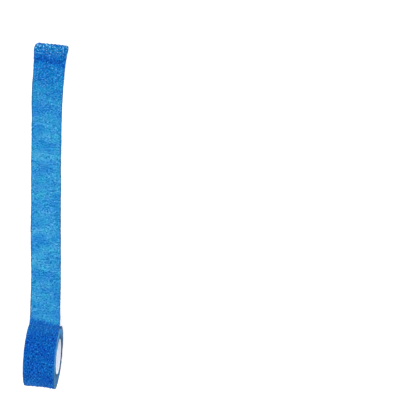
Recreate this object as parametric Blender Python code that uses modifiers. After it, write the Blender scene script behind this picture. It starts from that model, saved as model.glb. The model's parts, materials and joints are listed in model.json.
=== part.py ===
"""An adhesive plaster roll: crinkled elastic tape wound on a white core, its loose end laid out.

Row frame, in metres: the roll rests on the origin, the loose end runs towards +Y, and +Z is up.
"""

import math
from collections import namedtuple

import bmesh
import bpy
import numpy as np
from mathutils import Vector

MM = 0.001

# The tape
TAPE_WIDTH = 25.0 * MM
SHEET_THICKNESS = 1.0 * MM
PIECE_GAP = 0.3 * MM
TURN_PITCH = SHEET_THICKNESS + PIECE_GAP

# The wound roll and its core
ROLL_RADIUS = 25.3 * MM
RIM_ROUNDING = 0.7 * MM
CORE_OUTER_RADIUS = 14.5 * MM
CORE_WALL = 1.5 * MM
CORE_PROUD = 0.6 * MM
CORE_CHAMFER = 0.3 * MM
FLAT_SPOT_DEPTH = 0.3 * MM
ROLL_YAW = math.radians(3.5)

# Where the tape leaves the roll, measured up from the side that faces +Y
LEAVE_ANGLE = math.radians(12.0)
BOTTOM_ANGLE = math.radians(270.0)

# The doubled end: a soft fold across the tape, with a short tip turned under it
FOLD_RADIUS = 2.6 * MM
FOLD_CENTRE_Y = 256.4 * MM
FOLD_SIDE = 3.6 * MM
FOLD_LEAN = 6.0
FOLD_WIDTH = 26.4 * MM

# Facets
ROLL_SEGMENTS = 108
BORE_SEGMENTS = 72
SHEET_STEPS = 150
SHEET_STEPS_ACROSS = 6
FOLD_STEPS = 7

# One row for each section of the loose end, from the roll outwards, in millimetres and degrees.
# along: distance in +Y. lift: the lowest edge's height over the surface. side: the middle's place in X.
# lean: heading in plan, clockwise from +Y. bank: tilt across the width, positive where the +X edge is up.
Section = namedtuple("Section", "along lift side lean bank width")
LAID_OUT = (
    Section(27.0, 18.9, 1.3, 3.0, 0.0, 25.0),
    Section(31.3, 10.8, 0.8, 0.5, 0.0, 25.0),
    Section(38.0, 4.6, 0.1, -1.5, 0.0, 25.0),
    Section(47.0, 1.0, -0.4, -1.8, 0.0, 25.0),
    Section(56.0, 0.0, -0.6, -1.2, 0.0, 25.0),
    Section(72.0, 0.0, -0.8, -0.6, 0.0, 25.0),
    Section(85.0, 0.5, -0.9, -0.3, -1.5, 25.0),
    Section(98.0, 1.0, -1.0, 0.0, -3.0, 25.0),
    Section(111.0, 0.4, -1.0, 0.0, -1.2, 25.0),
    Section(122.0, 0.0, -1.0, 0.0, 0.0, 25.0),
    Section(136.0, 0.0, -0.9, 0.3, 0.0, 25.0),
    Section(149.0, 0.5, -0.8, 0.5, 1.5, 25.0),
    Section(161.0, 0.9, -0.7, 0.6, 2.6, 25.0),
    Section(174.0, 0.4, -0.6, 0.8, 1.0, 25.0),
    Section(186.0, 0.0, -0.4, 1.0, 0.0, 25.0),
    Section(202.0, 0.0, -0.1, 1.5, 0.0, 25.0),
    Section(214.0, 0.2, 0.3, 2.5, 0.0, 25.1),
    Section(224.0, 0.8, 0.8, 3.8, 0.4, 25.3),
    Section(234.0, 1.9, 1.6, 5.0, 0.8, 25.7),
    Section(244.0, 3.4, 2.5, 5.8, 0.6, 26.1),
)
TURNED_UNDER = (
    Section(251.5, 0.0, 3.1, 6.8, 0.0, 26.4),
    Section(247.0, 0.0, 2.7, 9.5, 0.0, 26.5),
    Section(242.5, 0.0, 2.3, 14.0, 0.0, 26.8),
)

TAPE_BLUE = (0.012, 0.12, 0.47, 1.0)
SHEER_BLUE = (0.04, 0.28, 0.66, 1.0)
CORE_WHITE = (0.88, 0.88, 0.9, 1.0)


def clear_scene():
    """Remove every object of the startup scene."""
    for obj in list(bpy.data.objects):
        bpy.data.objects.remove(obj)


def make_material(name, colour, roughness):
    """A plain Principled material."""
    material = bpy.data.materials.new(name)
    material.use_nodes = True
    shader = material.node_tree.nodes["Principled BSDF"]
    shader.inputs["Base Color"].default_value = colour
    shader.inputs["Roughness"].default_value = roughness
    shader.inputs["Metallic"].default_value = 0.0
    return material


def add_object(name, data, collection, material):
    """Link a new object that carries the material."""
    obj = bpy.data.objects.new(name, data)
    collection.objects.link(obj)
    data.materials.append(material)
    return obj


def turn_radius(angle):
    """Radius of the wound outline: the last turn's outside loses one turn's pitch on its way round."""
    return ROLL_RADIUS - TURN_PITCH * (angle - LEAVE_ANGLE) / math.tau


def roll_centre_height():
    """Height of the roll's axis, with the bottom pressed flat on the surface."""
    return turn_radius(BOTTOM_ANGLE) - FLAT_SPOT_DEPTH


def add_closed_spline(curve, points):
    """A closed polyline in the curve's own plane."""
    spline = curve.splines.new("POLY")
    spline.points.add(len(points) - 1)
    for point, (across, up) in zip(spline.points, points):
        point.co = (across, up, 0.0, 1.0)
    spline.use_cyclic_u = True


def wound_outline():
    """The roll's side view: one turn of a spiral, flat where it rests, with a step where the tape leaves."""
    floor = -roll_centre_height()
    points = []
    for step in range(ROLL_SEGMENTS + 1):
        angle = LEAVE_ANGLE + math.tau * step / ROLL_SEGMENTS
        radius = turn_radius(angle)
        points.append((radius * math.cos(angle), max(radius * math.sin(angle), floor)))
    return points


def circle_points(radius, segments):
    """Points round a circle, clockwise, as a hole in an outline runs."""
    angles = [-math.tau * step / segments for step in range(segments)]
    return [(radius * math.cos(angle), radius * math.sin(angle)) for angle in angles]


def build_wound_tape(collection, material):
    """The wound tape: its side view extruded to the tape's width, with rounded rims."""
    curve = bpy.data.curves.new("wound_tape", "CURVE")
    curve.dimensions = "2D"
    curve.fill_mode = "BOTH"
    curve.extrude = TAPE_WIDTH / 2 - RIM_ROUNDING
    curve.bevel_depth = RIM_ROUNDING
    curve.bevel_resolution = 1
    curve.offset = -RIM_ROUNDING
    add_closed_spline(curve, wound_outline())
    add_closed_spline(curve, circle_points(CORE_OUTER_RADIUS + PIECE_GAP, BORE_SEGMENTS))
    roll = add_object("wound_tape", curve, collection, material)
    roll.location = (0.0, 0.0, roll_centre_height())
    roll.rotation_euler = (math.radians(90), 0.0, math.radians(90) - ROLL_YAW)
    return roll


def core_profile():
    """The core's wall in section, as (radius, height): down its outside and up its bore, corners chamfered."""
    outer = CORE_OUTER_RADIUS
    inner = CORE_OUTER_RADIUS - CORE_WALL
    half = TAPE_WIDTH / 2 + CORE_PROUD
    cut = CORE_CHAMFER
    right_side = [(outer - cut, half), (outer, half - cut), (outer, cut - half), (outer - cut, -half)]
    left_side = [(inner + cut, -half), (inner, cut - half), (inner, half - cut), (inner + cut, half)]
    return right_side + left_side


def build_core(collection, material):
    """The core: a thin tube, its wall section turned about the roll's axis."""
    profile = core_profile()
    mesh = bpy.data.meshes.new("core")
    edges = [(i, (i + 1) % len(profile)) for i in range(len(profile))]
    mesh.from_pydata([(radius, 0.0, height) for radius, height in profile], edges, [])
    core = add_object("core", mesh, collection, material)
    screw = core.modifiers.new("turn", "SCREW")
    screw.axis = "Z"
    screw.steps = screw.render_steps = BORE_SEGMENTS
    screw.use_merge_vertices = True
    screw.merge_threshold = 0.00001
    core.location = (0.0, 0.0, roll_centre_height())
    core.rotation_euler = (0.0, math.radians(90), -ROLL_YAW)
    return core


def leaving_row(angle):
    """A row of the sheet's middle line while it still lies on the roll: x, y, z, lean, bank, width."""
    radius = turn_radius(LEAVE_ANGLE) - SHEET_THICKNESS / 2
    out = radius * math.cos(angle)
    height = roll_centre_height() + radius * math.sin(angle)
    side, along = out * math.sin(ROLL_YAW), out * math.cos(ROLL_YAW)
    return (side, along, height, ROLL_YAW, 0.0, TAPE_WIDTH)


def laid_row(section):
    """A row of the sheet's middle line from a section of the table, its lowest edge at the stated lift."""
    width = section.width * MM
    bank = math.radians(section.bank)
    height = section.lift * MM + SHEET_THICKNESS / 2 + width / 2 * abs(math.sin(bank))
    return (section.side * MM, section.along * MM, height, math.radians(section.lean), bank, width)


def fold_rows():
    """The half turn at the doubled end, from over to under, as an arc."""
    centre_height = FOLD_RADIUS + SHEET_THICKNESS / 2
    rows = []
    for step in range(FOLD_STEPS):
        angle = math.pi * (0.5 - step / (FOLD_STEPS - 1))
        along = FOLD_CENTRE_Y + FOLD_RADIUS * math.cos(angle)
        height = centre_height + FOLD_RADIUS * math.sin(angle)
        rows.append((FOLD_SIDE, along, height, math.radians(FOLD_LEAN), 0.0, FOLD_WIDTH))
    return rows


def sheet_rows():
    """Every row of the loose end, from the roll to the turned-under tip."""
    gap_angle = PIECE_GAP / ROLL_RADIUS
    start = leaving_row(LEAVE_ANGLE - gap_angle)
    laid = [laid_row(section) for section in LAID_OUT]
    under = [laid_row(section) for section in TURNED_UNDER]
    return np.array([start, *laid, *fold_rows(), *under])


def smooth_rows(rows, before, count):
    """A centripetal spline through the rows, read at even steps of length; before sets how it sets off."""
    ahead = 2 * rows[-1] - rows[-2]
    knots = np.vstack([before, rows, ahead])
    spans = np.linalg.norm(np.diff(knots[:, :3], axis=0), axis=1)
    times = np.concatenate([[0.0], np.cumsum(np.sqrt(spans))])
    samples = []
    for i in range(1, len(knots) - 2):
        t0, t1, t2, t3 = times[i - 1 : i + 3]
        p0, p1, p2, p3 = knots[i - 1 : i + 3]
        t = np.linspace(t1, t2, 40, endpoint=False)[:, None]
        a1 = (t1 - t) / (t1 - t0) * p0 + (t - t0) / (t1 - t0) * p1
        a2 = (t2 - t) / (t2 - t1) * p1 + (t - t1) / (t2 - t1) * p2
        a3 = (t3 - t) / (t3 - t2) * p2 + (t - t2) / (t3 - t2) * p3
        b1 = (t2 - t) / (t2 - t0) * a1 + (t - t0) / (t2 - t0) * a2
        b2 = (t3 - t) / (t3 - t1) * a2 + (t - t1) / (t3 - t1) * a3
        samples.append((t2 - t) / (t2 - t1) * b1 + (t - t1) / (t2 - t1) * b2)
    dense = np.vstack([*samples, rows[-1:]])
    lengths = np.linalg.norm(np.diff(dense[:, :3], axis=0), axis=1)
    run = np.concatenate([[0.0], np.cumsum(lengths)])
    wanted = np.linspace(0.0, run[-1], count + 1)
    return np.column_stack([np.interp(wanted, run, dense[:, k]) for k in range(dense.shape[1])])


def settle(rows):
    """The same rows, with none lower than the height at which its lowest edge touches the surface."""
    height, bank, width = rows[:, 2], rows[:, 4], rows[:, 5]
    touching = SHEET_THICKNESS / 2 + width / 2 * np.abs(np.sin(bank))
    settled = rows.copy()
    settled[:, 2] = np.maximum(height, touching)
    return settled


def build_loose_end(collection, material):
    """The loose end: a flat grid shaped by the rows, then given the sheet's thickness."""
    before = np.array(leaving_row(LEAVE_ANGLE + math.radians(20)))
    rows = settle(smooth_rows(sheet_rows(), before, SHEET_STEPS))
    grid = bmesh.new()
    bmesh.ops.create_grid(grid, x_segments=SHEET_STEPS_ACROSS, y_segments=SHEET_STEPS, size=1.0)
    for vertex in grid.verts:
        row = rows[round((vertex.co.y + 1) / 2 * SHEET_STEPS)]
        side, along, height, lean, bank, width = (float(value) for value in row)
        reach = vertex.co.x * width / 2
        across = Vector((math.cos(lean), -math.sin(lean), math.tan(bank))).normalized()
        vertex.co = Vector((side, along, height)) + across * reach
    mesh = bpy.data.meshes.new("loose_end")
    grid.to_mesh(mesh)
    grid.free()
    sheet = add_object("loose_end", mesh, collection, material)
    solidify = sheet.modifiers.new("thickness", "SOLIDIFY")
    solidify.thickness = SHEET_THICKNESS
    solidify.offset = 0.0
    solidify.use_even_offset = True
    return sheet


def main():
    """Build the three pieces of the plaster roll."""
    clear_scene()
    collection = bpy.data.collections.new("adhesive_plaster_roll")
    bpy.context.scene.collection.children.link(collection)
    wound = make_material("wound_crepe", TAPE_BLUE, 0.8)
    single = make_material("single_crepe", SHEER_BLUE, 0.8)
    white = make_material("core_white", CORE_WHITE, 0.55)
    build_wound_tape(collection, wound)
    build_core(collection, white)
    build_loose_end(collection, single)


main()
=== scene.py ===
"""The dressed adhesive plaster roll: crinkled elastic tape wound on a white core, its loose end laid out.

Row frame, in metres: the roll rests on the origin, the loose end runs towards +Y, and +Z is up.
The tape's own places are measured along it from the line where it leaves the roll, positive towards the
loose tip and negative back round the roll, and across it from its middle.
"""

from __future__ import annotations

import json
import logging
import math
from dataclasses import dataclass, field
from enum import Enum
from typing import NamedTuple, Union

import bpy
import numpy as np
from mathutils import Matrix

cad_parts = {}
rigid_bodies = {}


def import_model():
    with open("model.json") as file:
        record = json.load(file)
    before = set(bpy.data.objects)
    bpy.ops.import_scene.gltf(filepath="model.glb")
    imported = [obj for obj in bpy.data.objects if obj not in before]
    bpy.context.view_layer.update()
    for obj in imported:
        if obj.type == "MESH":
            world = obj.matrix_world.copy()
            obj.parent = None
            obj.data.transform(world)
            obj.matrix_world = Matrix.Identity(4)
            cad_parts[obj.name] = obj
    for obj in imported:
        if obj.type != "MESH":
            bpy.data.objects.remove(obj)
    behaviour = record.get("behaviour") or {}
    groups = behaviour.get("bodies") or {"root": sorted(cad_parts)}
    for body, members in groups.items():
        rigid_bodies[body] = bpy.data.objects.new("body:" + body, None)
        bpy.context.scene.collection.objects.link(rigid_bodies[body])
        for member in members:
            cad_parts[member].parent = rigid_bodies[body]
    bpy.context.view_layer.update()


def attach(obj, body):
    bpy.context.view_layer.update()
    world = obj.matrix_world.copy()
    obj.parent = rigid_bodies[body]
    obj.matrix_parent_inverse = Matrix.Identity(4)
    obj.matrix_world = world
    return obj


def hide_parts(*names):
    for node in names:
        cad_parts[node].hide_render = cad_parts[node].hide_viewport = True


MM = 0.001
LOG = logging.getLogger("plaster_roll")
Colour = tuple[float, float, float]
Place = tuple[float, float, float]
Span = tuple[float, float]
Socket = bpy.types.NodeSocket
Node = bpy.types.Node
Fed = Union[Socket, float, Colour]
WHITE: Colour = (1.0, 1.0, 1.0)

# Names shared by the meshes and the materials
TAPE_MAP = "tape"
RAISED_MARK = "raised"
LAYERS_MARK = "layers"
# The shade mark is painted shade: how much darker the colours are drawn where shade would fall
SHADE_MARK = "shade"
CREST_MARK = "crest"


class Finish(Enum):
    """The material slots of a piece of tape."""

    FACE = 0
    CUT_EDGE = 1


def smooth_step(value: np.ndarray, start: float, end: float) -> np.ndarray:
    """3t² - 2t³ of how far value has come from start to end, held to 0 and 1 outside them.

    Args:
        value: where to read it.
        start: the value that gives 0.
        end: the value that gives 1, on either side of start.

    Returns:
        The share, from 0 to 1.
    """
    share = np.clip((value - start) / (end - start), 0.0, 1.0)
    return share * share * (3.0 - 2.0 * share)


class SmoothNoise:
    """Smooth random values from -1 to 1 over a plane.

    Random numbers stand at the points of a square lattice. Between them the value is their blend, weighted
    by 3t² - 2t³ of the place in the cell, so it has no creases.
    """

    LATTICE = 512

    def __init__(self, seed: int) -> None:
        """Draw the lattice's numbers.

        Args:
            seed: which numbers to draw, the same ones each run.
        """
        self._values = np.random.default_rng(seed).uniform(-1.0, 1.0, (self.LATTICE, self.LATTICE))

    def at(self, x: np.ndarray, y: np.ndarray) -> np.ndarray:
        """The value at each place.

        Args:
            x: place along the first axis, in cells.
            y: place along the second axis, in cells.

        Returns:
            Values from -1 to 1, shaped as x and y together.
        """
        x, y = np.broadcast_arrays(np.asarray(x, float), np.asarray(y, float))
        column, row = np.floor(x), np.floor(y)
        across, up = x - column, y - row
        across, up = across * across * (3 - 2 * across), up * up * (3 - 2 * up)
        i, j = column.astype(int) % self.LATTICE, row.astype(int) % self.LATTICE
        next_i, next_j = (i + 1) % self.LATTICE, (j + 1) % self.LATTICE
        low = self._values[i, j] * (1 - across) + self._values[next_i, j] * across
        high = self._values[i, next_j] * (1 - across) + self._values[next_i, next_j] * across
        return low * (1 - up) + high * up


@dataclass(frozen=True)
class Bumps:
    """A smooth noise over the tape: its bumps' length along the tape, width across it, and height.

    number is what its seed adds to the piece's seed, so that each noise is another one.
    """

    number: int
    length: float
    width: float
    height: float

    def at(self, seed: int, along: np.ndarray, across: np.ndarray) -> np.ndarray:
        """The noise at places on the tape.

        Args:
            seed: the piece's seed.
            along: places along the tape, in metres.
            across: places across it, in metres.

        Returns:
            Values from -height to height, shaped as along and across together.
        """
        return self.height * SmoothNoise(seed + self.number).at(along / self.length, across / self.width)


@dataclass(frozen=True)
class Stray:
    """How a cut edge strays along the tape: small scallops on a slower wander, each one row of a noise.

    number is what the noise's seed adds to the piece's seed.
    """

    number: int
    scallop_length: float
    scallop_share: float
    scallop_row: float
    wander_length: float
    wander_share: float
    wander_row: float

    def at(self, seed: int, along: np.ndarray, side: float = 1.0) -> np.ndarray:
        """How far the edge strays at places along it: the sum of its scallops and its wander.

        Args:
            seed: the piece's seed.
            along: places along the tape, in metres.
            side: -1 for the left edge, 1 for the right.

        Returns:
            Shares about 0, at most the two shares together.
        """
        noise = SmoothNoise(seed + self.number)
        scallops = noise.at(along / self.scallop_length, side * self.scallop_row)
        wander = noise.at(along / self.wander_length, side * self.wander_row)
        return self.scallop_share * scallops + self.wander_share * wander


@dataclass(frozen=True)
class Crepe:
    """The tape's cloth, which elastic threads along it gather into small puckers.

    Where the tape is slack, on the roll and towards its tip, each thread makes a column of short puckers.
    Where it is drawn out they flatten into wavy ripples that run across it. The heights of the bends and
    of column_phase are in turns of the waves that they shift, and that of thread_drift is in threads.
    """

    width: float = 25.0 * MM
    thickness: float = 0.45 * MM
    relief: float = 0.5 * MM
    steps_across: int = 62
    edge_inset: float = 0.15 * MM
    seed: int = 7

    drawn_out_by: float = 24.0 * MM
    slack_from: float = 150.0 * MM
    slack_to: float = 245.0 * MM
    least_slack: float = 0.12

    ripple_pitch: float = 2.9 * MM
    coarse_bend: Bumps = Bumps(1, length=4.4 * MM, width=4.2 * MM, height=0.8)
    fine_bend: Bumps = Bumps(2, length=1.6 * MM, width=2.4 * MM, height=0.35)
    ripple_mean: float = 0.75
    ripple_swing: Bumps = Bumps(3, length=3.2 * MM, width=4.4 * MM, height=0.75)

    threads: int = 9
    thread_drift: Bumps = Bumps(4, length=13.0 * MM, width=6.0 * MM, height=0.45)
    arch_power: float = 0.6
    pucker_pitch: float = 2.6 * MM
    # Each column of puckers reads a row of its own here, so the width is 1 and the rows are plain numbers
    column_phase: Bumps = Bumps(5, length=7.0 * MM, width=1.0, height=1.2)
    column_apart: float = 1.37
    column_offset: float = 0.5
    pucker_bend: Bumps = Bumps(6, length=2.7 * MM, width=2.0 * MM, height=0.7)
    pucker_mean: float = 0.85
    pucker_swing: float = 0.75
    streaks: Bumps = Bumps(7, length=4.2 * MM, width=1.1 * MM, height=0.6)
    thread_depth: float = 0.7

    wave_share: float = 0.38
    grain: Bumps = Bumps(8, length=0.8 * MM, width=0.95 * MM, height=0.3)

    edge_wander: float = 0.2 * MM
    edge_stray: Stray = Stray(
        number=9,
        scallop_length=1.7 * MM,
        scallop_share=0.7,
        scallop_row=7.3,
        wander_length=6.0 * MM,
        wander_share=0.4,
        wander_row=17.7,
    )
    edge_power: int = 8

    def places_across(self) -> np.ndarray:
        """Places across the tape from edge to edge, evenly apart, with one more close to each edge."""
        even = np.linspace(-0.5, 0.5, self.steps_across + 1) * self.width
        return np.sort(np.append(even, [even[0] + self.edge_inset, even[-1] - self.edge_inset]))

    def slack(self, along: np.ndarray) -> np.ndarray:
        """How slack the tape is: 1 on the roll, 0 where it is drawn out, and 1 again at its tip.

        Args:
            along: places along the tape, in metres.

        Returns:
            Shares from 0 to 1.
        """
        near_roll = smooth_step(along, self.drawn_out_by, 0.0)
        near_tip = smooth_step(along, self.slack_from, self.slack_to)
        return np.maximum(near_roll, near_tip)

    def _ripples(self, along: np.ndarray, across: np.ndarray) -> np.ndarray:
        """A cosine along the tape whose phase a coarse and a fine noise bend, stronger and weaker by turns.

        Args:
            along: places along the tape, in metres.
            across: places across it, in metres.

        Returns:
            Heights about 0, up to 1.5 where the ripples are strongest.
        """
        coarse = self.coarse_bend.at(self.seed, along, across)
        fine = self.fine_bend.at(self.seed, along, across)
        strength = self.ripple_mean + self.ripple_swing.at(self.seed, along, across)
        return strength * np.cos(math.tau * (along / self.ripple_pitch + coarse + fine))

    def _puckers(self, along: np.ndarray, across: np.ndarray) -> np.ndarray:
        """Columns of puckers: each arches as |sin|, and its puckers are a cosine with a phase of its own.

        Args:
            along: places along the tape, in metres.
            across: places across it, in metres.

        Returns:
            Heights, lowest at a thread and up to 1.5 on a pucker midway between two.
        """
        drift = self.thread_drift.at(self.seed, along, across)
        column = across * self.threads / self.width + 0.5 * self.threads + drift
        arch = np.abs(np.sin(math.pi * column)) ** self.arch_power
        row = np.floor(column) * self.column_apart + self.column_offset
        own = self.column_phase.at(self.seed, along, row)
        bend = self.pucker_bend.at(self.seed, along, across)
        puckers = np.cos(math.tau * (along / self.pucker_pitch + own + bend))
        streaks = self.streaks.at(self.seed, along, across)
        return arch * (self.pucker_mean + self.pucker_swing * puckers + streaks) - self.thread_depth

    def raised(self, along: np.ndarray, across: np.ndarray) -> np.ndarray:
        """The crinkle's height as a share: ripples and puckers by how slack the tape is, and a fine grain.

        Args:
            along: places along the tape, in metres.
            across: places across it, in metres.

        Returns:
            0 in the deepest hollow, 1 on the highest pucker.
        """
        along, across = np.broadcast_arrays(along, across)
        slack = self.least_slack + (1 - self.least_slack) * self.slack(along)
        grain = self.grain.at(self.seed, along, across)
        waves = self._ripples(along, across) * (1 - slack) + self._puckers(along, across) * slack
        return np.clip(0.5 + self.wave_share * waves + grain, 0.0, 1.0)

    def spread(self, along: np.ndarray, across: np.ndarray) -> np.ndarray:
        """How far each place moves to the right because its nearer edge strays.

        The edge's own shift times a high power of the way to it from the middle, so it soon fades inwards.

        Args:
            along: places along the tape, in metres.
            across: places across it, in metres.

        Returns:
            The moves in metres, as places along by places across.
        """
        left = -self.edge_wander * self.edge_stray.at(self.seed, along, -1.0)
        right = self.edge_wander * self.edge_stray.at(self.seed, along, 1.0)
        outwards = np.where(across < 0, left[:, None], right[:, None])
        return outwards * (np.abs(across) / (self.width / 2)) ** self.edge_power


@dataclass
class Patch:
    """A grid of a mesh's vertex numbers that is filled with quads.

    Its outward side is the first axis crossed with the second. places holds two numbers for each vertex,
    for the map that the materials read.
    """

    ids: np.ndarray
    places: np.ndarray
    finish: Finish = Finish.FACE

    @staticmethod
    def _corners(grid: np.ndarray) -> np.ndarray:
        """The four corners of each cell of a grid, in turn."""
        return np.stack([grid[:-1, :-1], grid[1:, :-1], grid[1:, 1:], grid[:-1, 1:]], axis=2)

    def turned_over(self) -> Patch:
        """The same patch facing the other way."""
        return Patch(self.ids[:, ::-1], self.places[:, ::-1], self.finish)

    def quads(self) -> np.ndarray:
        """Vertex numbers, four for each quad."""
        return self._corners(self.ids).reshape(-1, 4)

    def corner_places(self) -> np.ndarray:
        """Map places, one for each corner of each quad."""
        return self._corners(self.places).reshape(-1, 2)


class PointStore:
    """Gathers the vertices of a mesh, with the crinkle's height at each, and numbers them."""

    def __init__(self) -> None:
        """Start with none."""
        self._points: list[np.ndarray] = []
        self._raised: list[np.ndarray] = []
        self._used = 0

    def add(self, points: np.ndarray, raised: np.ndarray) -> np.ndarray:
        """Take in some vertices.

        Args:
            points: their places, with x, y and z in the last dimension.
            raised: the crinkle's height at each, shaped as they are.

        Returns:
            Their numbers, shaped as they are.
        """
        numbers = self._used + np.arange(raised.size).reshape(raised.shape)
        self._points.append(points.reshape(-1, 3))
        self._raised.append(raised.ravel())
        self._used += raised.size
        return numbers

    def points(self) -> np.ndarray:
        """Every vertex, in the order of the numbers."""
        return np.concatenate(self._points)

    def raised(self) -> np.ndarray:
        """The crinkle's height at every vertex."""
        return np.concatenate(self._raised)


def make_mesh(
    name: str, points: np.ndarray, patches: list[Patch], marks: dict[str, np.ndarray]
) -> bpy.types.Mesh:
    """A smooth mesh of quads from whole arrays.

    Args:
        name: the mesh's name.
        points: the vertices, in metres.
        patches: the grids of vertices that make its faces.
        marks: one number for each vertex, under the name that the materials read it by.

    Returns:
        The mesh, with its map of places on the tape.
    """
    quads = np.concatenate([patch.quads() for patch in patches]).astype(np.int32)
    slots = np.concatenate([np.full(len(patch.quads()), patch.finish.value) for patch in patches])
    mesh = bpy.data.meshes.new(name)
    mesh.vertices.add(len(points))
    mesh.vertices.foreach_set("co", points.astype(np.float32).ravel())
    mesh.loops.add(quads.size)
    mesh.loops.foreach_set("vertex_index", quads.ravel())
    mesh.polygons.add(len(quads))
    mesh.polygons.foreach_set("loop_start", np.arange(0, quads.size, 4, dtype=np.int32))
    mesh.polygons.foreach_set("material_index", slots.astype(np.int32))
    mesh.update(calc_edges=True)
    places = mesh.uv_layers.new(name=TAPE_MAP)
    corners = np.concatenate([patch.corner_places() for patch in patches])
    places.uv.foreach_set("vector", corners.astype(np.float32).ravel())
    for mark, values in marks.items():
        attribute = mesh.attributes.new(mark, "FLOAT", "POINT")
        attribute.data.foreach_set("value", values.astype(np.float32).ravel())
    mesh.shade_smooth()
    return mesh


def add_piece(name: str, mesh: bpy.types.Mesh, materials: list[bpy.types.Material]) -> bpy.types.Object:
    """Put a mesh in the scene as a piece that rides on the object's one body.

    Args:
        name: the piece's name.
        mesh: its mesh, already in place.
        materials: one for each of its slots.

    Returns:
        The new object, at the origin.
    """
    piece = bpy.data.objects.new(name, mesh)
    bpy.context.scene.collection.objects.link(piece)
    for material in materials:
        mesh.materials.append(material)
    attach(piece, "root")
    LOG.info("%s: %d vertices, %d faces", name, len(mesh.vertices), len(mesh.polygons))
    return piece


@dataclass(frozen=True)
class Winding:
    """Where the wound tape lies: a spiral that the last turn of tape leaves at the leaving line."""

    outer_radius: float = 25.3 * MM
    last_turn_pitch: float = 1.3 * MM
    inner_radius: float = 14.53 * MM
    turns: int = 19
    leave_angle: float = math.radians(12.0)
    bottom_angle: float = math.radians(270.0)
    flat_spot_depth: float = 0.3 * MM
    yaw: float = math.radians(3.5)
    face_depth: float = 0.5 * MM
    askew: float = 0.3 * MM
    flare: float = 1.3 * MM
    flare_reach: float = 12.5 * MM
    flare_starts: float = math.radians(0.0)
    flare_full: float = math.radians(14.0)
    back_slack: float = 1.15 * MM
    back_lean: float = 0.2

    @property
    def centre_height(self) -> float:
        """Height of the roll's axis, with its lowest part pressed flat on the floor."""
        fallen = self.last_turn_pitch * (self.bottom_angle - self.leave_angle) / math.tau
        return self.outer_radius - fallen - self.flat_spot_depth

    @property
    def leaving_radius(self) -> float:
        """Radius of the tape's middle where it leaves the roll."""
        return self.outer_radius - self.face_depth

    def radius(self, turn: np.ndarray) -> np.ndarray:
        """Outside radius of the layer at a place in the winding: even turns, then one loose last turn.

        Args:
            turn: turns wound so far, from -1 for the bare core to turns at the leaving line.

        Returns:
            The radius, in metres.
        """
        settled = self.outer_radius - self.last_turn_pitch
        even = self.inner_radius + (settled - self.inner_radius) * (turn + 1) / self.turns
        loose = settled + self.last_turn_pitch * (turn - (self.turns - 1))
        return np.where(turn <= self.turns - 1, even, loose)

    def angle(self, turn: np.ndarray) -> np.ndarray:
        """Angle up from +Y at a place in the winding, which the tape goes down as it comes off."""
        return self.leave_angle - math.tau * turn

    def place(self, aside: np.ndarray, radius: np.ndarray, angle: np.ndarray) -> np.ndarray:
        """Points in the row frame from places about the roll's axis, none below the floor.

        The outer turns are wound a little wider in places, as _flared gives, and a little askew: they lie
        aside by a cosine of the angle.

        Args:
            aside: place along the axis, positive to the right.
            radius: distance from the axis.
            angle: angle up from +Y.

        Returns:
            The points, in metres, in a last dimension of three.
        """
        aside, radius, angle = np.broadcast_arrays(aside, radius, angle)
        depth = self.outer_radius - self.inner_radius
        outwards = np.clip((radius - self.inner_radius) / depth, 0.0, 1.0)
        radius = radius + outwards * self._flared(aside, angle)
        aside = aside + self.askew * outwards * np.cos(angle)
        out, up = radius * np.cos(angle), radius * np.sin(angle)
        x = aside * math.cos(self.yaw) + out * math.sin(self.yaw)
        y = out * math.cos(self.yaw) - aside * math.sin(self.yaw)
        return np.stack([x, y, np.maximum(up + self.centre_height, 0.0)], axis=-1)

    def _flared(self, aside: np.ndarray, angle: np.ndarray) -> np.ndarray:
        """How much wider the outermost turn is wound: towards the right end, and loosely at the back.

        The right end gains by the square of the way to it. Where the tape leaves the roll, its pull keeps
        the turns tight. At the back, away from the loose end, all the width gains, the right side most.

        Args:
            aside: place along the axis, positive to the right.
            angle: angle up from +Y.

        Returns:
            What the radius gains, in metres.
        """
        away = np.abs((angle - self.leave_angle + math.pi) % math.tau - math.pi)
        slack = smooth_step(away, self.flare_starts, self.flare_full)
        to_right = np.clip(aside / self.flare_reach, -1.0, 1.0)
        behind = np.maximum(-np.cos(angle), 0.0) ** 2 * (1 + self.back_lean * to_right)
        return self.flare * slack * np.maximum(to_right, 0.0) ** 2 + self.back_slack * behind

    def about_axis(self, points: np.ndarray) -> tuple[np.ndarray, np.ndarray]:
        """Where points lie about the roll's axis.

        Args:
            points: places in the row frame, in metres.

        Returns:
            Their places along the axis, and their distances from it, in metres.
        """
        x, y = points[:, 0], points[:, 1]
        aside = x * math.cos(self.yaw) - y * math.sin(self.yaw)
        out = x * math.sin(self.yaw) + y * math.cos(self.yaw)
        return aside, np.hypot(out, points[:, 2] - self.centre_height)


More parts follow.
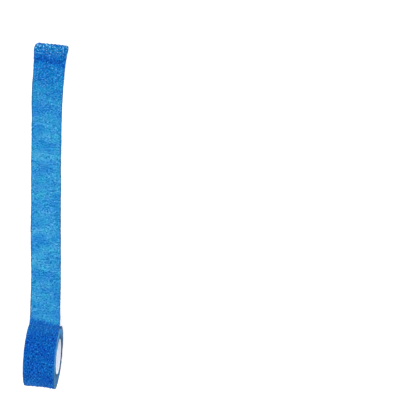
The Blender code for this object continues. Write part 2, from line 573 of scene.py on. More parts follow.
@dataclass
class WoundRoll:
    """The wound tape: its crinkled outside, and at both ends the cut edges of its layers as a spiral."""

    crepe: Crepe
    winding: Winding
    steps_each_turn: int = 440
    steps_each_layer: int = 4
    seed: int = 31

    groove: float = 0.26 * MM
    layer_wander: float = 0.3 * MM
    layer_stray: Stray = Stray(
        number=0,
        scallop_length=1.7 * MM,
        scallop_share=0.5,
        scallop_row=9.5,
        wander_length=16.0 * MM,
        wander_share=0.9,
        wander_row=3.5,
    )
    ridge_power: float = 0.6
    rim_rounding: float = 1.1 * MM
    rim_share: float = 0.82
    end_rounding: float = 0.5
    relief_gain: float = 1.25
    relaxed_wider: float = 0.5 * MM
    relaxed_lean: float = 0.88
    drawn_from: float = 0.07

    # Painted shade, which the shade mark carries into the colours of the roll's face and cut edges
    shaded_below: float = 15.0 * MM
    shaded_fully: float = 4.0 * MM
    rim_shaded_below: float = 40.0 * MM
    rim_shaded_fully: float = 17.0 * MM
    rim_shade: float = 0.85
    rim_shade_depth: float = 3.0 * MM
    rim_shade_full: float = 0.3
    inner_shade: float = 0.85
    inner_shade_depth: float = 6.0 * MM
    inner_shade_full: float = 0.2
    end_shade_full: float = 0.3
    back_shade: float = 0.45
    back_shade_from: float = -3.0 * MM
    back_shade_to: float = -13.8 * MM

    leaving_layers: float = 0.2
    leaving_from: float = 10.0 * MM
    leaving_to: float = 24.0 * MM
    back_layers: float = 0.15
    back_from: float = -15.0 * MM
    back_to: float = -23.0 * MM

    def _run(self) -> tuple[np.ndarray, np.ndarray]:
        """Every step of the winding.

        Returns:
            The turn at each step, and the place along the tape, which ends at 0 on the leaving line.
        """
        count = self.winding.turns * self.steps_each_turn
        turn = np.arange(count + 1) / self.steps_each_turn
        middle = self.winding.radius(turn) - self.winding.face_depth
        run = np.concatenate([[0.0], np.cumsum((middle[1:] + middle[:-1]) / 2)])
        along = run * math.tau / self.steps_each_turn
        return turn, along - along[-1]

    def _edge_height(self, along: np.ndarray, side: float) -> np.ndarray:
        """How far each layer's cut edge stands out, in metres, by a noise of its own at either end."""
        return self.layer_wander * self.layer_stray.at(self.seed + int(side), along)

    def _relaxed(self, turn: np.ndarray) -> np.ndarray:
        """How much further the right end stands out, as slack tape is wider, until the tape is drawn off."""
        slack = smooth_step(turn, self.winding.turns, self.winding.turns - self.drawn_from)
        return self.relaxed_wider * slack * (1 + self.relaxed_lean * np.cos(self.winding.angle(turn)))

    def _shade(self, points: np.ndarray) -> np.ndarray:
        """How deep in painted shade each point lies.

        The underside is shaded, and the outer rim from higher up. On the two ends, the layers next to the
        core and the part away from the loose end are shaded too. The fields that end in full say what
        share of a shade's depth is left where it is full.

        Args:
            points: places in the row frame, in metres.

        Returns:
            Shares from 0 to 1.
        """
        height = points[:, 2]
        aside, radius = self.winding.about_axis(points)
        rim, bore, half = self.winding.outer_radius, self.winding.inner_radius, self.crepe.width / 2
        rim_full = rim - self.rim_shade_full * self.rim_shade_depth
        bore_full = bore + self.inner_shade_full * self.inner_shade_depth
        end_full = half - self.end_shade_full * self.rim_rounding
        under = smooth_step(height, self.shaded_below, self.shaded_fully)
        low = smooth_step(height, self.rim_shaded_below, self.rim_shaded_fully)
        outer = smooth_step(radius, rim - self.rim_shade_depth, rim_full)
        inner = smooth_step(radius, bore + self.inner_shade_depth, bore_full)
        at_end = smooth_step(np.abs(aside), half - self.rim_rounding, end_full)
        behind = smooth_step(points[:, 1], self.back_shade_from, self.back_shade_to)
        ends = at_end * np.maximum(self.inner_shade * inner, self.back_shade * behind)
        return np.maximum.reduce([under, self.rim_shade * outer * low, ends])

    def _end_points(
        self, turn: np.ndarray, along: np.ndarray, side: float
    ) -> tuple[np.ndarray, np.ndarray]:
        """Points of one end: each layer is a ridge, half a sine from its inner side to its outer.

        Args:
            turn: the turn at each step.
            along: the place along the tape at each step.
            side: -1 for the left end, 1 for the right.

        Returns:
            The points as steps by places in the layer, and how high each lies on its ridge, from 0 to 1.
        """
        share = np.arange(self.steps_each_layer) / self.steps_each_layer
        inner, outer = self.winding.radius(turn - 1), self.winding.radius(turn)
        radius = inner[:, None] * (1 - share) + outer[:, None] * share
        ridge = np.sin(math.pi * share) ** self.ridge_power
        height = (self.groove + self._edge_height(along, side))[:, None] * ridge
        depth = self.winding.outer_radius - radius
        rounded = self._rim_drop(np.clip(1 - depth / self.rim_rounding, 0.0, 1.0))
        aside = side * (self.crepe.width / 2 - self.groove + height - self.end_rounding * rounded)
        if side > 0:
            aside = aside + self._relaxed(turn)[:, None]
        points = self.winding.place(aside, radius, self.winding.angle(turn)[:, None])
        return points, np.broadcast_to(ridge, radius.shape)

    def _rim_drop(self, share: np.ndarray) -> np.ndarray:
        """How far a rounded rim has fallen away: a quarter circle's sagitta at a share of its radius."""
        return self.rim_rounding * (1 - np.sqrt(1 - (self.rim_share * share) ** 2))

    def _face_points(self, turn: np.ndarray, along: np.ndarray, across: np.ndarray) -> tuple[np.ndarray, ...]:
        """Points of the outside, crinkled as the tape is, with its two rims rounded.

        Args:
            turn: the turn at each step of the last turn.
            along: the place along the tape at each step.
            across: places across the tape.

        Returns:
            The points as steps by places across, and the crinkle's height there.
        """
        raised = self.crepe.raised(along[:, None], across[None, :])
        half = self.crepe.width / 2
        share = np.clip((np.abs(across) - half + self.rim_rounding) / self.rim_rounding, 0.0, 1.0)
        lift = self.crepe.thickness / 2 + (raised - 0.5) * self.crepe.relief * self.relief_gain
        middle = self.winding.radius(turn) - self.winding.face_depth
        radius = middle[:, None] + lift - self._rim_drop(share)
        wider = self._relaxed(turn)[:, None] * np.clip(across / half, 0.0, 1.0) ** 2
        aside = across + self.crepe.spread(along, across) + wider
        points = self.winding.place(aside, radius, self.winding.angle(turn)[:, None])
        return points, raised

    def build(self, face: bpy.types.Material, cut_edge: bpy.types.Material) -> bpy.types.Object:
        """Make the wound tape as one closed mesh.

        Args:
            face: the material of the tape's face.
            cut_edge: the material of the layers' cut edges at both ends.

        Returns:
            The piece, in place of the CAD's wound tape.
        """
        turn, along = self._run()
        across = self.crepe.places_across()
        each, layer = self.steps_each_turn, self.steps_each_layer
        last, last_along = turn[-each - 1 :], along[-each - 1 :]

        store = PointStore()
        face_points, face_raised = self._face_points(last, last_along, across)
        face_ids = store.add(face_points[:, 1:-1], face_raised[:, 1:-1])
        layer_ids, rims = {}, {}
        for side, column in ((-1.0, 0), (1.0, -1)):
            own = store.add(*self._end_points(turn, along, side))
            rim = store.add(face_points[1:, column], face_raised[1:, column])
            rims[side] = np.concatenate([own[-1:, 0], rim])
            outer = np.concatenate([own[each:, 0], rim])
            layer_ids[side] = np.column_stack([own, outer])

        wall_share = (np.arange(1, layer) / layer)[:, None, None]
        wall_points = face_points[0, 1:-1] * (1 - wall_share) + face_points[-1, 1:-1] * wall_share
        wall_ids = store.add(wall_points, np.zeros(wall_points.shape[:-1]))

        outside = np.column_stack([rims[-1.0], face_ids, rims[1.0]])
        tape_places = np.stack(np.broadcast_arrays(across[None, :], last_along[:, None]), axis=-1)
        turns_in = (turn[:, None] + np.arange(layer + 1) / layer) * MM
        turn_places = np.stack(np.broadcast_arrays(turns_in, along[:, None]), axis=-1)
        step_wall = np.column_stack(
            [
                layer_ids[-1.0][-1],
                np.vstack([face_ids[:1], wall_ids, face_ids[-1:]]),
                layer_ids[1.0][-1],
            ]
        )
        start_wall = np.column_stack([layer_ids[-1.0][0], layer_ids[1.0][0]])
        bore = np.column_stack([layer_ids[-1.0][: each + 1, 0], layer_ids[1.0][: each + 1, 0]])
        patches = [
            Patch(outside, tape_places).turned_over(),
            Patch(layer_ids[1.0], turn_places, Finish.CUT_EDGE),
            Patch(layer_ids[-1.0], turn_places, Finish.CUT_EDGE).turned_over(),
            Patch(step_wall, np.zeros((*step_wall.shape, 2)), Finish.CUT_EDGE),
            Patch(start_wall, np.zeros((*start_wall.shape, 2)), Finish.CUT_EDGE).turned_over(),
            Patch(bore, np.zeros((*bore.shape, 2)), Finish.CUT_EDGE),
        ]
        points = store.points()
        leaving = smooth_step(points[:, 1], self.leaving_from, self.leaving_to)
        behind = smooth_step(points[:, 1], self.back_from, self.back_to)
        marks = {
            RAISED_MARK: store.raised(),
            LAYERS_MARK: 1 - self.leaving_layers * leaving - self.back_layers * behind,
            # painted shade
            SHADE_MARK: self._shade(points),
            CREST_MARK: np.zeros(len(points)),
        }
        mesh = make_mesh("wound_tape_crepe", points, patches, marks)
        piece = add_piece("wound_tape_crepe", mesh, [face, cut_edge])
        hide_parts("wound_tape")
        return piece


class Section(NamedTuple):
    """One section across the loose end, in millimetres and degrees.

    along is its distance in +Y, lift its lowest edge's height over the surface, and side its middle's place
    in X. lean is its heading in plan, clockwise from +Y, and bank its tilt across the width, positive where
    the +X edge is up.
    """

    along: float
    lift: float
    side: float
    lean: float
    bank: float
    width: float


# The loose end's sections, in order along the tape from the roll, and past its fold
LAID_OUT = (
    Section(27.0, 18.9, 1.1, 3.0, 0.0, 25.2),
    Section(31.3, 10.8, 0.3, 0.5, 0.0, 25.2),
    Section(38.0, 4.6, -0.5, -1.5, 0.0, 25.2),
    Section(47.0, 1.0, -0.7, -1.8, 0.0, 25.2),
    Section(56.0, 0.0, -0.6, -0.6, 0.0, 25.2),
    Section(72.0, 0.0, -0.5, -0.3, 0.0, 25.2),
    Section(85.0, 0.5, -0.5, 0.0, -1.5, 25.2),
    Section(98.0, 1.0, -0.5, 0.0, -3.0, 25.2),
    Section(111.0, 0.4, -0.5, 0.0, -1.2, 25.2),
    Section(122.0, 0.0, -0.5, 0.0, 0.0, 25.2),
    Section(136.0, 0.0, -0.4, 0.3, 0.0, 25.2),
    Section(149.0, 0.5, -0.3, 0.5, 1.5, 25.3),
    Section(161.0, 0.9, -0.2, 0.6, 2.6, 25.3),
    Section(174.0, 0.4, -0.1, 0.8, 1.0, 25.3),
    Section(186.0, 0.0, 0.0, 1.0, 0.0, 25.3),
    Section(202.0, 0.0, 0.2, 1.5, 0.0, 25.6),
    Section(214.0, 0.2, 0.5, 2.5, 0.0, 26.2),
    Section(224.0, 0.8, 1.1, 3.8, 0.4, 26.5),
    Section(234.0, 1.9, 2.1, 5.0, 0.8, 26.6),
    Section(244.0, 3.4, 3.0, 5.8, 0.6, 26.8),
)
TURNED_UNDER = (
    Section(251.0, 0.0, 3.4, 6.8, 0.0, 26.8),
    Section(246.5, 0.0, 3.1, 9.5, 0.0, 26.6),
    Section(242.0, 0.0, 2.7, 14.0, 0.0, 26.8),
)


@dataclass(frozen=True)
class TapeLine:
    """The loose end's middle line: off the roll, down to the floor, along it, and back under itself."""

    winding: Winding
    width: float
    solid_thickness: float = 1.0 * MM
    fold_radius: float = 2.6 * MM
    fold_centre_y: float = 256.1 * MM
    fold_side: float = 3.8 * MM
    fold_lean: float = math.radians(5.9)
    fold_width: float = 27.8 * MM
    fold_steps: int = 7
    lead_in: float = math.radians(20.0)
    samples_each_span: int = 40

    def _leaving_row(self, angle: float) -> np.ndarray:
        """A row while the tape still lies on the roll.

        Args:
            angle: where on the roll, up from +Y.

        Returns:
            x, y, z, lean, bank and width.
        """
        radius = self.winding.leaving_radius
        x, y, z = self.winding.place(np.array(0.0), np.array(radius), np.array(angle))
        return np.array([x, y, z, self.winding.yaw, 0.0, self.width])

    def _laid_row(self, section: Section) -> np.ndarray:
        """A row from a section of the table, its lowest edge at the stated lift.

        Args:
            section: the section.

        Returns:
            x, y, z, lean, bank and width.
        """
        width, bank = section.width * MM, math.radians(section.bank)
        height = section.lift * MM + self.solid_thickness / 2 + width / 2 * abs(math.sin(bank))
        lean = math.radians(section.lean)
        return np.array([section.side * MM, section.along * MM, height, lean, bank, width])

    def _fold_rows(self) -> np.ndarray:
        """The half turn at the doubled end, from over to under, as an arc.

        Returns:
            Rows of x, y, z, lean, bank and width.
        """
        angle = np.linspace(0.5 * math.pi, -0.5 * math.pi, self.fold_steps)
        rows = np.empty((self.fold_steps, 6))
        rows[:, 0] = self.fold_side
        rows[:, 1] = self.fold_centre_y + self.fold_radius * np.cos(angle)
        rows[:, 2] = self.fold_radius * (1 + np.sin(angle)) + self.solid_thickness / 2
        rows[:, 3:] = (self.fold_lean, 0.0, self.fold_width)
        return rows

    def _knots(self) -> np.ndarray:
        """Every row that the line goes through, with one before and one past it that set its ends' course.

        Returns:
            Rows of x, y, z, lean, bank and width.
        """
        laid = [self._laid_row(section) for section in LAID_OUT]
        under = [self._laid_row(section) for section in TURNED_UNDER]
        before = self._leaving_row(self.winding.leave_angle + self.lead_in)
        start = self._leaving_row(self.winding.leave_angle)
        past = 2 * under[-1] - under[-2]
        return np.vstack([before, start, *laid, self._fold_rows(), *under, past])

    def rows(self, count: int) -> tuple[np.ndarray, np.ndarray]:
        """Rows at even steps along a centripetal spline through the knots.

        Args:
            count: how many steps to make.

        Returns:
            The rows (x, y, z, lean, bank, width), and each one's place along the tape.
        """
        knots = self._knots()
        gaps = np.linalg.norm(np.diff(knots[:, :3], axis=0), axis=1)
        times = np.concatenate([[0.0], np.cumsum(np.sqrt(gaps))])
        spans = np.arange(1, len(knots) - 2)[:, None]
        share = np.arange(self.samples_each_span) / self.samples_each_span
        t0, t1, t2, t3 = (times[spans + k][..., None] for k in (-1, 0, 1, 2))
        p0, p1, p2, p3 = (knots[spans + k] for k in (-1, 0, 1, 2))
        t = t1 + (t2 - t1) * share[None, :, None]
        a1 = (t1 - t) / (t1 - t0) * p0 + (t - t0) / (t1 - t0) * p1
        a2 = (t2 - t) / (t2 - t1) * p1 + (t - t1) / (t2 - t1) * p2
        a3 = (t3 - t) / (t3 - t2) * p2 + (t - t2) / (t3 - t2) * p3
        b1 = (t2 - t) / (t2 - t0) * a1 + (t - t0) / (t2 - t0) * a2
        b2 = (t3 - t) / (t3 - t1) * a2 + (t - t1) / (t3 - t1) * a3
        dense = ((t2 - t) / (t2 - t1) * b1 + (t - t1) / (t2 - t1) * b2).reshape(-1, 6)
        dense = np.vstack([dense, knots[-2]])
        steps = np.linalg.norm(np.diff(dense[:, :3], axis=0), axis=1)
        run = np.concatenate([[0.0], np.cumsum(steps)])
        along = np.linspace(0.0, run[-1], count + 1)
        return np.column_stack([np.interp(along, run, column) for column in dense.T]), along


@dataclass
class LooseEnd:
    """The drawn-out stretch of the tape: one thin crinkled sheet, doubled under at its tip."""

    crepe: Crepe
    line: TapeLine
    steps_along: int = 690
    floor_gap: float = 0.02 * MM
    seed: int = 53

    relief_slack: float = 1.25
    relief_drawn_out: float = 0.85
    relief_doubled: float = 1.6

    peel_left: float = 17.0 * MM
    peel_right: float = 3.0 * MM
    peel_softness: float = 5.0 * MM
    peel_rag: Bumps = Bumps(0, length=2.4 * MM, width=1.9 * MM, height=3.2 * MM)
    peeled_layers: float = 0.8
    painted_shade_right: float = 0.18
    doubled_layers: float = 0.78
    cut_softness: float = 1.5 * MM
    gathered_layers: float = 0.45
    gathered_from: float = 188.0 * MM
    gathered_to: float = 250.0 * MM

    crest_from: float = -10.0 * MM
    crest_to: float = -0.3 * MM
    crest_paler: float = 0.45
    # Painted shade along the fold's far side, broken into beads
    shaded_from: float = 1.7 * MM
    shaded_past: float = 2.5 * MM
    bead_mean: float = 0.65
    beads: Bumps = Bumps(1, length=3.0 * MM, width=1.1 * MM, height=0.35)

    corner_line: float = 249.0 * MM
    corner_pull: float = 0.48
    corner_width: float = 4.0 * MM
    tip_flare: float = 0.9 * MM
    tip_flare_lead: float = 10.0 * MM
    tip_flare_to: float = 257.5 * MM

    def _frames(self, rows: np.ndarray) -> tuple[np.ndarray, np.ndarray]:
        """The sheet's directions at each row.

        Args:
            rows: x, y, z, lean, bank and width of each row.

        Returns:
            The direction across the sheet, and the one that its outer face looks in.
        """
        lean, bank = rows[:, 3], rows[:, 4]
        across = np.column_stack([np.cos(lean), -np.sin(lean), np.tan(bank)])
        across /= np.linalg.norm(across, axis=1)[:, None]
        ahead = np.gradient(rows[:, :3], axis=0)
        out = np.cross(across, ahead)
        return across, out / np.linalg.norm(out, axis=1)[:, None]

    def _doubled(self, points: np.ndarray, turned: np.ndarray) -> np.ndarray:
        """Where the sheet has its turned-under tip beneath it, past the line of the tip's slanting cut.

        Args:
            points: the sheet's middle surface.
            turned: 1 on the rows that lie turned under, 0 on the others.

        Returns:
            Shares from 0 to 1.
        """
        tip = TURNED_UNDER[-1]
        slant = math.tan(math.radians(tip.lean))
        past_cut = points[..., 1] - (tip.along * MM - slant * (points[..., 0] - tip.side * MM))
        return np.maximum(smooth_step(past_cut, -self.cut_softness, self.cut_softness), turned)

    def _layers(
        self, along: np.ndarray, across: np.ndarray, middle: np.ndarray, doubled: np.ndarray
    ) -> np.ndarray:
        """How many-layered the tape looks, from 0 where one layer lies alone to 1 on the roll.

        The change near the roll follows a ragged slanting line. Towards its right edge the cloth is drawn a
        little darker, as painted shade. Towards the tip it is less drawn out, so it slowly grows denser, and
        it is densest where it is doubled, but for the crest of the fold, which is stretched and paler.

        Args:
            along: places along the tape.
            across: places across it.
            middle: the sheet's middle surface.
            doubled: where the sheet has its tip beneath it.

        Returns:
            Shares from 0 to 1.
        """
        share = across / self.crepe.width + 0.5
        peel = self.peel_left + (self.peel_right - self.peel_left) * share
        ragged = self.peel_rag.at(self.seed, along, across)
        on_roll = 1 - smooth_step(along - peel + ragged, -self.peel_softness, self.peel_softness)
        near_tip = smooth_step(middle[..., 1], self.gathered_from, self.gathered_to)
        # painted shade that deepens towards the right edge, then the denser cloth near the tip
        gathered = self.painted_shade_right * share * (1 - near_tip) + self.gathered_layers * near_tip
        dense = np.maximum(gathered, self.doubled_layers * doubled)
        return np.maximum(self.peeled_layers * on_roll, dense * (1 - self.crest_paler * self._crest(middle)))

    def _past_fold(self, middle: np.ndarray) -> np.ndarray:
        """How far past the fold's slanting axis each point of the middle surface lies, in metres."""
        slant = math.tan(self.line.fold_lean) * (middle[..., 0] - self.line.fold_side)
        return middle[..., 1] - self.line.fold_centre_y + slant

    def _crest(self, middle: np.ndarray) -> np.ndarray:
        """How near the fold's crest each point of the middle surface lies, from 0 to 1."""
        return smooth_step(self._past_fold(middle), self.crest_from, self.crest_to)

    def _painted_fold_shade(self, middle: np.ndarray, along: np.ndarray, across: np.ndarray) -> np.ndarray:
        """How deep in painted shade a point lies round the fold's far side, uneven between the puckers.

        Args:
            middle: the sheet's middle surface.
            along: places along the tape.
            across: places across it.

        Returns:
            0 before the fold, up to 1 where the cloth has turned down past it.
        """
        beads = self.beads.at(self.seed, along, across)
        past = self._past_fold(middle)
        return smooth_step(past, self.shaded_from, self.shaded_past) * (self.bead_mean + beads)

    def _shape_tip(self, middle: np.ndarray, across: np.ndarray) -> None:
        """Round the fold's left corner off and spread its right edge a little.

        Past a line short of the fold, a point near the left edge gives back a share of its way past it.
        The share grows as a quarter ellipse does.

        Args:
            middle: the sheet's middle surface, which is changed.
            across: places across the tape.
        """
        past = np.maximum(middle[..., 1] - self.corner_line, 0.0)
        half = self.crepe.width / 2
        near = np.clip(1 - (across + half) / self.corner_width, 0.0, 1.0)
        middle[..., 1] -= self.corner_pull * past * (1 - np.sqrt(1 - near * near))
        spread = smooth_step(middle[..., 1], self.corner_line - self.tip_flare_lead, self.tip_flare_to)
        middle[..., 0] += self.tip_flare * spread * np.clip(across / half, 0.0, 1.0)

    def _two_faces(self, middle: np.ndarray, out: np.ndarray, offset: np.ndarray) -> list[np.ndarray]:
        """The sheet's outer and inner face: its middle moved out by the crinkle and half the thickness.

        Neither goes below the floor, and where they meet it the upper one stays half a thickness above.

        Args:
            middle: the middle surface.
            out: the direction that the outer face looks in, at each row.
            offset: how far the crinkle stands out at each point.

        Returns:
            The outer face's points, then the inner's.
        """
        faces = []
        for way in (1.0, -1.0):
            points = middle + out[:, None, :] * (offset + way * 0.5 * self.crepe.thickness)[..., None]
            is_upper = way * out[:, 2] > 0
            least = self.floor_gap + 0.5 * self.crepe.thickness * is_upper
            points[..., 2] = np.maximum(points[..., 2], least[:, None])
            faces.append(points)
        return faces

    @staticmethod
    def _patches(outer: np.ndarray, inner: np.ndarray, places: np.ndarray) -> list[Patch]:
        """The two faces and the four narrow strips that join their edges.

        Args:
            outer: vertex numbers of the outer face.
            inner: vertex numbers of the inner face.
            places: places on the tape for either.

        Returns:
            Patches that close the sheet.
        """
        patches = [Patch(outer, places).turned_over(), Patch(inner, places)]
        for edge, over in ((np.s_[:, -1], False), (np.s_[:, 0], True), (np.s_[0], False), (np.s_[-1], True)):
            ids = np.column_stack([outer[edge], inner[edge]])
            strip = Patch(ids, np.stack([places[edge], places[edge]], axis=1))
            patches.append(strip.turned_over() if over else strip)
        return patches

    def build(self, face: bpy.types.Material) -> bpy.types.Object:
        """Args:
            face: the material of the tape's face.

        Returns:
            The piece, in place of the CAD's loose end.
        """
        rows, along = self.line.rows(self.steps_along)
        across_dir, out = self._frames(rows)
        across = self.crepe.places_across()
        along_grid, across_grid = np.broadcast_arrays(along[:, None], across[None, :])
        reach = across * (rows[:, 5] / self.crepe.width)[:, None] + self.crepe.spread(along, across)
        middle = rows[:, None, :3] + across_dir[:, None, :] * reach[..., None]
        self._shape_tip(middle, across_grid)

        turned = (out[:, 2] < 0)[:, None].astype(float)
        doubled = self._doubled(middle, turned)
        slack = self.crepe.slack(along)[:, None]
        gain = self.relief_drawn_out + (self.relief_slack - self.relief_drawn_out) * slack
        gain = gain + (self.relief_doubled - self.relief_slack) * doubled
        raised = self.crepe.raised(along_grid, across_grid)
        faces = self._two_faces(middle, out, (raised - 0.5) * self.crepe.relief * gain)

        outer = np.arange(along_grid.size).reshape(along_grid.shape)
        patches = self._patches(outer, outer + outer.size, np.stack([across_grid, along_grid], axis=-1))
        layers = self._layers(along_grid, across_grid, middle, doubled)
        marks = {
            RAISED_MARK: np.concatenate([raised, 1 - raised]),
            LAYERS_MARK: np.concatenate([layers, layers]),
            # painted shade on the fold's far side
            SHADE_MARK: np.tile(self._painted_fold_shade(middle, along_grid, across_grid), (2, 1)),
            CREST_MARK: np.tile(self._crest(middle), (2, 1)),
        }
        points = np.concatenate([points.reshape(-1, 3) for points in faces])
        mesh = make_mesh("loose_end_crepe", points, patches, marks)
        piece = add_piece("loose_end_crepe", mesh, [face])
        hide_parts("loose_end")
        LOG.info("loose end: %.1f mm long laid flat", along[-1] / MM)
        return piece


@dataclass
class Core:
    """The white tube that the tape is wound on, its lips rounded."""

    winding: Winding
    tape_width: float
    outer_radius: float = 14.5 * MM
    wall: float = 1.5 * MM
    proud: float = 0.6 * MM
    lip: float = 0.45 * MM
    segments: int = 192
    lip_steps: int = 6
    straight_steps: int = 8
    # Painted shade on the core, darker towards the loose end
    painted_shade_from: float = -2.0 * MM
    painted_shade_to: float = 12.0 * MM

    def _section(self) -> tuple[np.ndarray, np.ndarray]:
        """The wall's outline: two straight runs joined by rounded lips, closed.

        Each lip is two quarter circles, and each straight run lies between one lip and the next.

        Returns:
            Places along the axis and distances from it, in metres.
        """
        half = self.tape_width / 2 + self.proud
        inner = self.outer_radius - self.wall
        quarter = np.linspace(0.0, 0.5 * math.pi, self.lip_steps + 1)
        aside: list[np.ndarray] = []
        radius: list[np.ndarray] = []
        corners = (
            (half - self.lip, self.outer_radius - self.lip, 0.5 * math.pi),
            (half - self.lip, inner + self.lip, 0.0),
            (self.lip - half, inner + self.lip, -0.5 * math.pi),
            (self.lip - half, self.outer_radius - self.lip, -math.pi),
        )
        for number, (at, out, start) in enumerate(corners):
            turn = start - quarter
            aside.append(at + self.lip * np.cos(turn))
            radius.append(out + self.lip * np.sin(turn))
            following = corners[(number + 1) % 4]
            if number % 2:
                first = at + self.lip * math.cos(turn[-1]), out + self.lip * math.sin(turn[-1])
                then = (following[0] + self.lip * math.cos(following[2]), first[1])
                share = np.arange(1, self.straight_steps) / self.straight_steps
                aside.append(first[0] + (then[0] - first[0]) * share)
                radius.append(np.full(share.shape, first[1]))
        return np.concatenate(aside), np.concatenate(radius)

    def build(self, white: bpy.types.Material) -> bpy.types.Object:
        """Turn the wall's outline about the roll's axis.

        Args:
            white: the tube's material.

        Returns:
            The piece, in place of the CAD's core.
        """
        aside, radius = self._section()
        angle = math.tau * np.arange(self.segments) / self.segments
        points = self.winding.place(aside[None, :], radius[None, :], angle[:, None])
        ids = np.arange(angle.size * aside.size).reshape(angle.size, aside.size)
        ring = np.column_stack([ids, ids[:, 0]])
        closed = np.vstack([ring, ring[:1]])
        outline = np.concatenate([[0.0], np.cumsum(np.hypot(np.diff(aside), np.diff(radius)))])
        across = np.append(outline, outline[-1])
        around = np.append(angle, math.tau) * self.outer_radius
        places = np.stack(np.broadcast_arrays(across[None, :], around[:, None]), axis=-1)
        # painted shade, darker towards the loose end
        marks = {SHADE_MARK: smooth_step(points[..., 1], self.painted_shade_from, self.painted_shade_to)}
        mesh = make_mesh("core_tube", points.reshape(-1, 3), [Patch(closed, places)], marks)
        piece = add_piece("core_tube", mesh, [white])
        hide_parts("core")
        return piece


class Wiring:
    """Adds and joins the nodes of one node tree."""

    def __init__(self, tree: bpy.types.NodeTree) -> None:
        """Take a tree to work on.

        Args:
            tree: a material's or a group's node tree.
        """
        self.tree = tree

    def node(self, kind: str, **settings: object) -> Node:
        """A new node of a kind, with its own settings made.

        Args:
            kind: the node's type, as Blender names it.
            settings: the node's properties by name.

        Returns:
            The node.
        """
        node = self.tree.nodes.new(kind)
        for name, value in settings.items():
            setattr(node, name, value)
        return node

    def feed(self, socket: Socket, value: Fed) -> None:
        """Link another node's output to a socket, or set the socket to a plain value.

        Args:
            socket: the input to feed.
            value: another node's output, a number, or a colour, which gets full alpha.
        """
        if isinstance(value, Socket):
            self.tree.links.new(value, socket)
        elif isinstance(value, tuple):
            socket.default_value = (*value, 1.0)
        else:
            socket.default_value = value

    def math(self, operation: str, first: Fed, second: Fed = 0.0, clamp: bool = False) -> Socket:
        """What a Math node makes of two values.

        Args:
            operation: the node's operation, as Blender names it.
            first: the first value.
            second: the second value.
            clamp: whether the result is held between 0 and 1.

        Returns:
            The result.
        """
        node = self.node("ShaderNodeMath", operation=operation, use_clamp=clamp)
        self.feed(node.inputs[0], first)
        self.feed(node.inputs[1], second)
        return node.outputs[0]

    def fitted(self, value: Fed, span: Span, to: Span = (0.0, 1.0)) -> Socket:
        """A value moved smoothly from one span to another, and held within it.

        Args:
            value: the value.
            span: the two values that give the ends of the other span.
            to: the ends of what comes out.

        Returns:
            The moved value.
        """
        node = self.node("ShaderNodeMapRange", interpolation_type="SMOOTHSTEP")
        for socket, number in zip(node.inputs[:5], (value, *span, *to)):
            self.feed(socket, number)
        return node.outputs[0]

    def between(self, share: Fed, first: Fed, second: Fed) -> Socket:
        """A value a share of the way from one to another.

        Args:
            share: 0 for the first value, 1 for the second.
            first: the first value.
            second: the second value.

        Returns:
            The value.
        """
        node = self.node("ShaderNodeMix", data_type="FLOAT")
        for socket, value in zip((node.inputs[0], node.inputs[2], node.inputs[3]), (share, first, second)):
            self.feed(socket, value)
        return node.outputs[0]

    def mixed(self, share: Fed, first: Fed, second: Fed, blend: str = "MIX") -> Socket:
        """Two colours mixed.

        Args:
            share: how much the second colour counts, from 0 to 1.
            first: the first colour.
            second: the second colour.
            blend: how they are blended, as Blender names it.

        Returns:
            The colour.
        """
        node = self.node("ShaderNodeMix", data_type="RGBA", blend_type=blend)
        for socket, value in zip((node.inputs[0], node.inputs[6], node.inputs[7]), (share, first, second)):
            self.feed(socket, value)
        return node.outputs[2]

    def grey(self, value: Socket) -> Socket:
        """A value as a colour with all three channels alike.

        Args:
            value: the value.

        Returns:
            The colour.
        """
        node = self.node("ShaderNodeCombineColor")
        for socket in node.inputs:
            self.feed(socket, value)
        return node.outputs[0]

    def noise(self, places: Socket, scale: Fed, detail: float, distortion: float = 0.0) -> Socket:
        """Blender's own noise.

        Args:
            places: where to read it.
            scale: how many bumps it has in a unit of places.
            detail: how many finer noises are added to it.
            distortion: how far it is bent.

        Returns:
            Values from about 0 to 1.
        """
        node = self.node("ShaderNodeTexNoise")
        settings = {"Vector": places, "Scale": scale, "Detail": detail, "Distortion": distortion}
        for name, value in settings.items():
            self.feed(node.inputs[name], value)
        return node.outputs[0]

    def mark(self, name: str) -> Socket:
        """A number that the mesh carries at each vertex."""
        return self.node("ShaderNodeAttribute", attribute_name=name).outputs["Fac"]

    def tape_places(self, across_gain: float = 1.0, along_gain: float = 1.0) -> Socket:
        """Places on the tape in millimetres, across and along.

        Args:
            across_gain: what the places across are multiplied by, so that a pattern on them gets narrower.
            along_gain: the same along the tape.

        Returns:
            The places.
        """
        mapping = self.node("ShaderNodeMapping")
        self.feed(mapping.inputs["Vector"], self.node("ShaderNodeUVMap", uv_map=TAPE_MAP).outputs[0])
        mapping.inputs["Scale"].default_value = (across_gain / MM, along_gain / MM, 1.0)
        return mapping.outputs[0]

    def across_and_along(self, places: Socket) -> tuple[Socket, Socket]:
        """Places taken apart.

        Args:
            places: places on the tape.

        Returns:
            How far across the tape they are, and how far along it.
        """
        apart = self.node("ShaderNodeSeparateXYZ")
        self.feed(apart.inputs[0], places)
        return apart.outputs[0], apart.outputs[1]

    def grouped(self, group: bpy.types.NodeTree, **values: Fed) -> Socket:
        """A shared group placed here.

        Args:
            group: the group.
            values: what its inputs are fed by name, an underscore for a space.

        Returns:
            Its one output.
        """
        node = self.node("ShaderNodeGroup", node_tree=group)
        for name, value in values.items():
            self.feed(node.inputs[name.replace("_", " ")], value)
        return node.outputs[0]

    def emboss(self, shader: Node, height: Socket, strength: float, distance: float) -> None:
        """Give a shader a finely raised surface through a Bump node.

        Args:
            shader: the shader.
            height: how high the surface stands, from 0 to 1.
            strength: how strongly it shows.
            distance: what a height of 1 stands for, in metres.
        """
        bump = self.node("ShaderNodeBump")
        for name, value in (("Strength", strength), ("Distance", distance), ("Height", height)):
            self.feed(bump.inputs[name], value)
        self.feed(shader.inputs["Normal"], bump.outputs[0])


